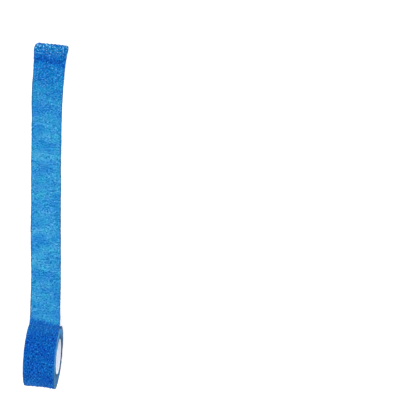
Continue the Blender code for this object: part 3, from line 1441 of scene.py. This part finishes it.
class SharedEffects:
    """The node groups that the materials place, each with its own values."""

    MIDDLE = 0.5
    BEND_SCALE = 0.9
    BEND_DETAIL = 2.0
    FLECK_DETAIL = 1.5
    FLECK_DISTORTION = 0.3
    FLECK_SHARPNESS = 7.0
    PATCH_DETAIL = 2.0
    GRAIN_DETAIL = 1.0

    def __init__(self) -> None:
        """Build each group once."""
        self.gauze = self._gauze()
        self.flecks = self._flecks()
        self.patches = self._patches()
        self.grain = self._grain()

    @staticmethod
    def _new(name: str, inputs: dict[str, str], output: str) -> tuple[Wiring, Node, Node]:
        """An empty group with named sockets.

        Args:
            name: the group's name.
            inputs: the kind of each input by name: Float or Vector.
            output: the name of its one output, a Float.

        Returns:
            The group's wiring, its input node and its output node.
        """
        tree = bpy.data.node_groups.new(name, "ShaderNodeTree")
        for in_out, sockets in (("INPUT", inputs), ("OUTPUT", {output: "Float"})):
            for socket, kind in sockets.items():
                tree.interface.new_socket(name=socket, in_out=in_out, socket_type="NodeSocket" + kind)
        wiring = Wiring(tree)
        return wiring, wiring.node("NodeGroupInput"), wiring.node("NodeGroupOutput")

    def _gauze(self) -> bpy.types.NodeTree:
        """A fine open weave: sine ridges along and across, bent by noise, the higher of the two showing.

        Returns:
            The group.
        """
        sockets = {"Places": "Vector", "Along Pitch": "Float", "Across Pitch": "Float", "Bend": "Float"}
        wiring, given, result = self._new("gauze_weave", sockets, "Height")
        places = given.outputs["Places"]
        swing = wiring.noise(places, self.BEND_SCALE, self.BEND_DETAIL)
        bend = wiring.math("MULTIPLY", swing, given.outputs["Bend"])
        ridges = []
        for place, pitch in zip(wiring.across_and_along(places), ("Across Pitch", "Along Pitch")):
            turns = wiring.math("DIVIDE", wiring.math("ADD", place, bend), given.outputs[pitch])
            wave = wiring.math("SINE", wiring.math("MULTIPLY", turns, math.tau))
            ridges.append(wiring.math("ADD", wiring.math("MULTIPLY", wave, self.MIDDLE), self.MIDDLE))
        wiring.feed(result.inputs["Height"], wiring.math("MAXIMUM", *ridges))
        return wiring.tree

    def _flecks(self) -> bpy.types.NodeTree:
        """Small scattered flecks: the peaks of a noise, cut off below a level.

        Returns:
            The group.
        """
        sockets = {"Places": "Vector", "Spacing": "Float", "Level": "Float"}
        wiring, given, result = self._new("scattered_flecks", sockets, "Mask")
        scale = wiring.math("DIVIDE", 1.0, given.outputs["Spacing"])
        value = wiring.noise(given.outputs["Places"], scale, self.FLECK_DETAIL, self.FLECK_DISTORTION)
        over = wiring.math("SUBTRACT", value, given.outputs["Level"])
        wiring.feed(result.inputs["Mask"], wiring.math("MULTIPLY", over, self.FLECK_SHARPNESS, clamp=True))
        return wiring.tree

    def _swing(self, wiring: Wiring, given: Node, detail: float) -> Socket:
        """A noise about 0 with bumps of a group's Size, times its Depth.

        Args:
            wiring: the group's wiring.
            given: its input node.
            detail: how many finer noises are added.

        Returns:
            The noise.
        """
        scale = wiring.math("DIVIDE", 1.0, given.outputs["Size"])
        value = wiring.noise(given.outputs["Places"], scale, detail)
        return wiring.math("MULTIPLY", wiring.math("SUBTRACT", value, self.MIDDLE), given.outputs["Depth"])

    def _patches(self) -> bpy.types.NodeTree:
        """Soft lighter and darker patches, as a factor about 1.

        Returns:
            The group.
        """
        sockets = {"Places": "Vector", "Size": "Float", "Depth": "Float"}
        wiring, given, result = self._new("soft_patches", sockets, "Factor")
        swing = self._swing(wiring, given, self.PATCH_DETAIL)
        wiring.feed(result.inputs["Factor"], wiring.math("ADD", swing, 1.0))
        return wiring.tree

    def _grain(self) -> bpy.types.NodeTree:
        """The unevenness of single yarns: a fine noise about 0.

        Returns:
            The group.
        """
        sockets = {"Places": "Vector", "Size": "Float", "Depth": "Float"}
        wiring, given, result = self._new("yarn_grain", sockets, "Height")
        wiring.feed(result.inputs["Height"], self._swing(wiring, given, self.GRAIN_DETAIL))
        return wiring.tree


@dataclass(frozen=True)
class Flecks:
    """Where a finish places the flecks: the gains of places across and along, the spacing and the level."""

    across_gain: float
    along_gain: float
    spacing: float
    level: float

    def mask(self, wiring: Wiring, effects: SharedEffects) -> Socket:
        """Where the flecks lie, from 0 to 1."""
        places = wiring.tape_places(self.across_gain, self.along_gain)
        return wiring.grouped(effects.flecks, Places=places, Spacing=self.spacing, Level=self.level)


@dataclass(frozen=True)
class Mottle:
    """Where a finish places patches or grain: the gains of places across and along, the size, the depth."""

    across_gain: float
    along_gain: float
    size: float
    depth: float = 1.0

    def value(self, wiring: Wiring, group: bpy.types.NodeTree, depth: Socket | None = None) -> Socket:
        """What a group gives there.

        Args:
            wiring: the material's wiring.
            group: the patches or the grain.
            depth: the depth, where it changes over the surface.

        Returns:
            A factor about 1 for patches, a height about 0 for grain.
        """
        places = wiring.tape_places(self.across_gain, self.along_gain)
        own = self.depth if depth is None else depth
        return wiring.grouped(group, Places=places, Size=self.size, Depth=own)


def new_material(name: str) -> tuple[bpy.types.Material, Wiring, Node]:
    """A material with its one Principled shader.

    Args:
        name: the material's name.

    Returns:
        The material, its wiring and its shader.
    """
    material = bpy.data.materials.new(name)
    material.use_nodes = True
    return material, Wiring(material.node_tree), material.node_tree.nodes["Principled BSDF"]


@dataclass(frozen=True)
class ClothColours:
    """The crinkle's colours in one state of the tape: its hollows, its puckers and the painted glints on
    them.
    """

    hollow: Colour
    pucker: Colour
    glint: Colour

    def mixed(self, wiring: Wiring, pucker: Socket, glint: Socket) -> Socket:
        """The cloth's colour from how high it stands and how much painted glint there is."""
        cloth = wiring.mixed(pucker, self.hollow, self.pucker)
        return wiring.mixed(glint, cloth, self.glint)


@dataclass(frozen=True)
class CrepeFinish:
    """The tape's face: paler where one layer lies alone, deep blue on the roll, its puckers lighter.

    Widths, pitches and sizes are in millimetres, but for the bump's distance. tone_depth and crinkle_share
    are for the drawn-out and for the wound tape, roughness is for the hollows and for the puckers, and
    calm_relief for the calmest and for the busiest patches. A field that ends in span says between which
    values of a pattern its effect goes from none to full.
    """

    # The hollows are drawn darker and the puckers lighter, partly as the cloth's own density and partly as
    # painted shade and light
    drawn_out: ClothColours = ClothColours((0.005, 0.150, 0.40), (0.045, 0.35, 0.68), (0.18, 0.60, 0.95))
    gathered: ClothColours = ClothColours((0.0008, 0.078, 0.31), (0.004, 0.212, 0.62), (0.24, 0.66, 1.00))
    wound: ClothColours = ClothColours((0.0001, 0.035, 0.24), (0.002, 0.132, 0.55), (0.075, 0.42, 0.94))
    gathered_layers: float = 0.45
    # Painted shade: the colour that the shade mark darkens the face towards, at most by shade_share
    dark: Colour = (0.001, 0.030, 0.13)
    shade_share: float = 0.6

    # Painted glints: pale spots on the puckers' tops that stand in for light catching them, stronger on the
    # fold's crest
    flecks: Flecks = Flecks(across_gain=1.0, along_gain=1.15, spacing=1.1, level=0.56)
    glint_share: float = 0.7
    crest_glint_share: float = 1.9
    crest_tint: Colour = (1.15, 0.96, 0.98)

    tones: Mottle = Mottle(across_gain=0.5, along_gain=1.0, size=10.0)
    tone_depth: Span = (1.15, 0.7)
    tone_span: Span = (0.75, 1.25)
    deep_tint: Colour = (0.55, 0.78, 0.96)
    pale_tint: Colour = (1.42, 1.22, 1.03)
    tints: Mottle = Mottle(across_gain=1.0, along_gain=1.0, size=7.0)
    tint_span: Span = (0.8, 1.2)
    cool_tint: Colour = (0.74, 1.03, 0.96)
    warm_tint: Colour = (1.28, 0.97, 1.03)

    half_width: float = 12.5
    edge_width: float = 1.1
    edge_full: float = 0.4
    edge_share: float = 0.95
    edge_beads: Flecks = Flecks(across_gain=0.1, along_gain=0.5, spacing=0.8, level=0.42)
    edge_least: float = 0.35
    # The dark edge line is partly the denser cut edge and partly painted shade where the edge curls down. On
    # the roll's rounded rims the line is pale instead, as a painted highlight.
    edge_dark: Colour = (0.002, 0.058, 0.13)
    edge_painted_highlight: Colour = (0.050, 0.24, 0.60)
    edge_painted_highlight_share: float = 0.4

    gauze_along: float = 0.42
    gauze_across: float = 0.55
    gauze_bend: float = 0.5
    gauze_share: float = 0.14
    wide_grain: Mottle = Mottle(across_gain=0.45, along_gain=1.35, size=0.75, depth=3.1)
    long_grain: Mottle = Mottle(across_gain=1.5, along_gain=0.42, size=0.8, depth=3.7)
    crinkle_share: Span = (0.85, 0.65)
    calm: Mottle = Mottle(across_gain=1.0, along_gain=1.0, size=9.0, depth=2.2)
    calm_span: Span = (0.65, 1.25)
    calm_relief: Span = (0.4, 1.2)
    wound_relief: float = 0.95
    height_span: Span = (-0.4, 0.55)

    roughness: Span = (0.95, 0.85)
    specular: float = 0.06
    sheen: float = 0.03
    sheen_tint: Colour = (0.1, 0.4, 1.0)
    bump: float = 0.35
    bump_distance: float = 0.12 * MM

    def material(self, effects: SharedEffects) -> bpy.types.Material:
        """Wire the face's material.

        Args:
            effects: the shared node groups.

        Returns:
            The material.
        """
        material, wiring, shader = new_material("crepe_face")
        places = wiring.tape_places()
        layers = wiring.mark(LAYERS_MARK)
        pitches = {"Along_Pitch": self.gauze_along, "Across_Pitch": self.gauze_across}
        gauze = wiring.grouped(effects.gauze, Places=places, Bend=self.gauze_bend, **pitches)
        pucker = self._pucker(wiring, effects, layers, gauze)
        colour = self._cloth(wiring, effects, layers, pucker)
        line = self._edge_line(wiring, effects, places)
        # edge line: partly the denser cut edge, partly painted shade; on the roll's rims a painted highlight
        colour = wiring.mixed(wiring.between(layers, line, 0.0), colour, self.edge_dark)
        pale = wiring.math("MULTIPLY", wiring.between(layers, 0.0, line), self.edge_painted_highlight_share)
        colour = wiring.mixed(pale, colour, self.edge_painted_highlight)
        # painted shade from the shade mark
        shade = wiring.math("MULTIPLY", wiring.mark(SHADE_MARK), self.shade_share)
        wiring.feed(shader.inputs["Base Color"], wiring.mixed(shade, colour, self.dark))
        wiring.feed(shader.inputs["Roughness"], wiring.fitted(pucker, (0.0, 1.0), self.roughness))
        wiring.feed(shader.inputs["Specular IOR Level"], self.specular)
        wiring.feed(shader.inputs["Sheen Weight"], self.sheen)
        wiring.feed(shader.inputs["Sheen Tint"], self.sheen_tint)
        wiring.emboss(shader, wiring.math("ADD", gauze, pucker), self.bump, self.bump_distance)
        return material

    def _pucker(self, wiring: Wiring, effects: SharedEffects, layers: Socket, gauze: Socket) -> Socket:
        """How high the cloth stands: the mesh's crinkle, its weave, and the grain of its yarns.

        The grain lies across the tape where it is drawn out and along it on the roll. Where it is drawn
        out, both the grain and the crinkle are calmer in some patches than in others.

        Args:
            wiring: the material's wiring.
            effects: the shared node groups.
            layers: how many-layered the tape looks.
            gauze: how high the weave stands.

        Returns:
            Heights from 0 to 1.
        """
        wide = self.wide_grain.value(wiring, effects.grain)
        grain = wiring.between(layers, wide, self.long_grain.value(wiring, effects.grain))
        around = wiring.math("SUBTRACT", wiring.mark(RAISED_MARK), 0.5)
        crinkle = wiring.math("MULTIPLY", around, wiring.between(layers, *self.crinkle_share))
        busy = wiring.fitted(self.calm.value(wiring, effects.patches), self.calm_span, self.calm_relief)
        gain = wiring.between(layers, busy, self.wound_relief)
        relief = wiring.math("MULTIPLY", wiring.math("ADD", crinkle, grain), gain)
        height = wiring.math("ADD", relief, wiring.math("MULTIPLY", gauze, self.gauze_share))
        return wiring.fitted(height, self.height_span)

    def _cloth(self, wiring: Wiring, effects: SharedEffects, layers: Socket, pucker: Socket) -> Socket:
        """The cloth's colour: by its layers and its height, with painted glints, and patches of tone and
        tint.

        Args:
            wiring: the material's wiring.
            effects: the shared node groups.
            layers: how many-layered the tape looks.
            pucker: how high the cloth stands.

        Returns:
            The colour.
        """
        crest = wiring.mark(CREST_MARK)
        shown = wiring.between(crest, self.glint_share, self.glint_share + self.crest_glint_share)
        # painted glints on the puckers' tops
        raised = wiring.math("MULTIPLY", pucker, shown)
        glint = wiring.math("MULTIPLY", self.flecks.mask(wiring, effects), raised)
        states = [state.mixed(wiring, pucker, glint) for state in (self.drawn_out, self.gathered, self.wound)]
        first = wiring.fitted(layers, (0.0, self.gathered_layers))
        second = wiring.fitted(layers, (self.gathered_layers, 1.0))
        colour = wiring.mixed(second, wiring.mixed(first, states[0], states[1]), states[2])
        tint = wiring.fitted(self.tints.value(wiring, effects.patches), self.tint_span)
        colour = wiring.mixed(1.0, colour, wiring.mixed(tint, self.cool_tint, self.warm_tint), "MULTIPLY")
        colour = wiring.mixed(crest, colour, self.crest_tint, "MULTIPLY")
        depth = wiring.between(layers, *self.tone_depth)
        tone = wiring.fitted(self.tones.value(wiring, effects.patches, depth), self.tone_span)
        return wiring.mixed(1.0, colour, wiring.mixed(tone, self.deep_tint, self.pale_tint), "MULTIPLY")

    def _edge_line(self, wiring: Wiring, effects: SharedEffects, places: Socket) -> Socket:
        """A thin line along both edges, stronger and weaker by turns.

        Args:
            wiring: the material's wiring.
            effects: the shared node groups.
            places: places on the tape.

        Returns:
            How strong the line is, from 0 to 1.
        """
        from_middle = wiring.math("ABSOLUTE", wiring.across_and_along(places)[0])
        inner, outer = self.half_width - self.edge_width, self.half_width - self.edge_full * self.edge_width
        line = wiring.fitted(from_middle, (inner, outer), (0.0, self.edge_share))
        beads = self.edge_beads.mask(wiring, effects)
        return wiring.math("MULTIPLY", line, wiring.between(beads, self.edge_least, 1.0))


@dataclass(frozen=True)
class CutEdgeFinish:
    """The cut edges of the wound layers: pale fibre ends with dark lines between them.

    Places across hold the turns wound so far, and places along the distance along the tape. A share or a
    gain that is a pair, and the roughness, are for where their pattern is missing and for where it is full.
    """

    line: Colour = (0.008, 0.080, 0.28)
    fibre: Colour = (0.095, 0.39, 0.76)
    # Painted shade: the colour that the shade mark darkens the cut edges towards, low down, near the core and
    # away from the loose end
    dark: Colour = (0.012, 0.035, 0.075)
    shade_share: float = 0.88
    ridge_share: float = 0.7
    lines_each_turn: float = 2.0
    line_span: Span = (-1.0, 0.4)
    line_share: Span = (0.0, 0.35)
    fibre_ends: Flecks = Flecks(across_gain=2.0, along_gain=1.0, spacing=0.9, level=0.5)
    fibre_gain: Span = (0.75, 1.15)
    dark_turns: Flecks = Flecks(across_gain=0.9, along_gain=0.05, spacing=1.0, level=0.53)
    dark_gain: Span = (1.0, 0.35)
    tones: Mottle = Mottle(across_gain=0.35, along_gain=0.12, size=1.0, depth=0.9)
    roughness: Span = (1.0, 0.9)
    specular: float = 0.2
    bump: float = 0.5
    bump_distance: float = 0.15 * MM

    def material(self, effects: SharedEffects) -> bpy.types.Material:
        """Wire the cut edges' material.

        Args:
            effects: the shared node groups.

        Returns:
            The material.
        """
        material, wiring, shader = new_material("crepe_cut_edge")
        full = (0.0, 1.0)
        turn, _ = wiring.across_and_along(wiring.tape_places())
        wave = wiring.math("COSINE", wiring.math("MULTIPLY", turn, math.tau * self.lines_each_turn))
        fine = wiring.fitted(wave, self.line_span, self.line_share)
        flecks = self.fibre_ends.mask(wiring, effects)
        pale = wiring.math("ADD", wiring.math("MULTIPLY", wiring.mark(RAISED_MARK), self.ridge_share), fine)
        pale = wiring.math("MULTIPLY", pale, wiring.fitted(flecks, full, self.fibre_gain), clamp=True)
        darker = wiring.fitted(self.dark_turns.mask(wiring, effects), full, self.dark_gain)
        pale = wiring.math("MULTIPLY", pale, darker)
        tones = wiring.grey(self.tones.value(wiring, effects.patches))
        colour = wiring.mixed(1.0, wiring.mixed(pale, self.line, self.fibre), tones, "MULTIPLY")
        # painted shade from the shade mark
        shade = wiring.math("MULTIPLY", wiring.mark(SHADE_MARK), self.shade_share)
        wiring.feed(shader.inputs["Base Color"], wiring.mixed(shade, colour, self.dark))
        wiring.feed(shader.inputs["Roughness"], wiring.fitted(pale, full, self.roughness))
        wiring.feed(shader.inputs["Specular IOR Level"], self.specular)
        wiring.emboss(shader, wiring.math("ADD", fine, flecks), self.bump, self.bump_distance)
        return material


@dataclass(frozen=True)
class CoreFinish:
    """The core's white plastic: smooth, a little uneven in tone, with faint rub marks."""

    white: Colour = (0.80, 0.84, 0.93)
    shade: Colour = (0.66, 0.70, 0.79)
    # Painted shade: the colour that the core's shade mark darkens it towards
    painted_shade: Colour = (0.52, 0.58, 0.66)
    painted_shade_share: float = 0.6
    tones: Mottle = Mottle(across_gain=1.0, along_gain=1.0, size=6.0, depth=0.5)
    tone_span: Span = (0.85, 1.1)
    rubs: Flecks = Flecks(across_gain=1.0, along_gain=0.15, spacing=0.8, level=0.6)
    roughness: float = 0.42
    rubbed_rougher: float = 0.2
    bump: float = 0.08
    bump_distance: float = 0.05 * MM

    def material(self, effects: SharedEffects) -> bpy.types.Material:
        """Wire the core's material.

        Args:
            effects: the shared node groups.

        Returns:
            The material.
        """
        material, wiring, shader = new_material("core_white")
        tone = wiring.fitted(self.tones.value(wiring, effects.patches), self.tone_span)
        colour = wiring.mixed(tone, self.shade, self.white)
        # painted shade towards the loose end
        painted_shade_amount = wiring.math("MULTIPLY", wiring.mark(SHADE_MARK), self.painted_shade_share)
        rubs = self.rubs.mask(wiring, effects)
        worn = wiring.math("MULTIPLY", rubs, self.rubbed_rougher)
        wiring.feed(shader.inputs["Base Color"], wiring.mixed(painted_shade_amount, colour, self.painted_shade))
        wiring.feed(shader.inputs["Roughness"], wiring.math("ADD", worn, self.roughness))
        wiring.emboss(shader, rubs, self.bump, self.bump_distance)
        return material


@dataclass(frozen=True)
class Studio:
    """The plain pale floor, the soft lights, and the camera straight above."""

    camera_at: Place = (129.3 * MM, 127.8 * MM, 975.0 * MM)
    picture_width: float = 337.3 * MM
    sensor: float = 36.0
    floor_half: float = 3.0
    floor_below: float = 0.05 * MM
    floor_tone: float = 0.96
    floor_glow: float = 0.32
    floor_roughness: float = 0.95
    floor_specular: float = 0.1
    sky: float = 0.95
    aim: Place = (0.0, 0.12, 0.0)
    key_at: Place = (0.25, 0.4, 1.0)
    key_power: float = 3.2
    key_size: float = 0.8
    fill_at: Place = (-0.7, -0.1, 0.75)
    fill_power: float = 1.2
    fill_size: float = 0.9

    def _floor(self) -> None:
        """A wide matt floor just under the object, with a faint glow as a light table has."""
        half = self.floor_half
        corners = [(-half, -half), (half, -half), (half, half), (-half, half)]
        mesh = bpy.data.meshes.new("floor")
        mesh.from_pydata([(x, y, -self.floor_below) for x, y in corners], [], [(0, 1, 2, 3)])
        floor = bpy.data.objects.new("floor", mesh)
        bpy.context.scene.collection.objects.link(floor)
        material, wiring, shader = new_material("floor_pale")
        settings = {
            "Base Color": (self.floor_tone, self.floor_tone, self.floor_tone),
            "Emission Color": WHITE,
            "Emission Strength": self.floor_glow,
            "Roughness": self.floor_roughness,
            "Specular IOR Level": self.floor_specular,
        }
        for name, value in settings.items():
            wiring.feed(shader.inputs[name], value)
        mesh.materials.append(material)

    def _light(self, name: str, at: Place, power: float, size: float) -> None:
        """A square area light that looks at the middle of the object.

        Args:
            name: the light's name.
            at: where it hangs, in metres.
            power: its power in watts.
            size: the length of its sides, in metres.
        """
        data = bpy.data.lights.new(name, "AREA")
        data.energy = power
        data.size = size
        light = bpy.data.objects.new(name, data)
        light.location = at
        aim = bpy.data.objects.new(name + "_aim", None)
        aim.location = self.aim
        track = light.constraints.new("TRACK_TO")
        track.target = aim
        track.track_axis, track.up_axis = "TRACK_NEGATIVE_Z", "UP_Y"
        for obj in (light, aim):
            bpy.context.scene.collection.objects.link(obj)

    def _camera(self) -> None:
        """A camera that looks straight down, +Y upwards in its picture."""
        data = bpy.data.cameras.new("camera")
        data.sensor_width = self.sensor
        data.lens = self.sensor * self.camera_at[2] / self.picture_width
        camera = bpy.data.objects.new("camera", data)
        camera.location = self.camera_at
        bpy.context.scene.collection.objects.link(camera)
        bpy.context.scene.camera = camera

    def build(self) -> None:
        """Set up the floor, sky, lights, camera and plain colour handling."""
        self._floor()
        world = bpy.data.worlds.new("sky")
        world.use_nodes = True
        background = world.node_tree.nodes["Background"]
        background.inputs["Color"].default_value = (*WHITE, 1.0)
        background.inputs["Strength"].default_value = self.sky
        bpy.context.scene.world = world
        self._light("key", self.key_at, self.key_power, self.key_size)
        self._light("fill", self.fill_at, self.fill_power, self.fill_size)
        self._camera()
        bpy.context.scene.view_settings.view_transform = "Standard"
        LOG.info("studio: floor, sky, two lights and camera")


@dataclass
class PlasterRoll:
    """The whole object: its three pieces, made from one cloth and one winding."""

    crepe: Crepe = field(default_factory=Crepe)
    winding: Winding = field(default_factory=Winding)

    def build(self) -> None:
        """Make every piece and dress it."""
        effects = SharedEffects()
        face = CrepeFinish().material(effects)
        cut_edge = CutEdgeFinish().material(effects)
        white = CoreFinish().material(effects)
        WoundRoll(self.crepe, self.winding).build(face, cut_edge)
        LooseEnd(self.crepe, TapeLine(self.winding, self.crepe.width)).build(face)
        Core(self.winding, self.crepe.width).build(white)


def main() -> None:
    """Load the frame, dress the object and light it."""
    logging.basicConfig(level=logging.INFO, format="%(name)s: %(message)s")
    for obj in list(bpy.data.objects):
        bpy.data.objects.remove(obj)
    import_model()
    PlasterRoll().build()
    Studio().build()


if __name__ == "__main__":
    main()
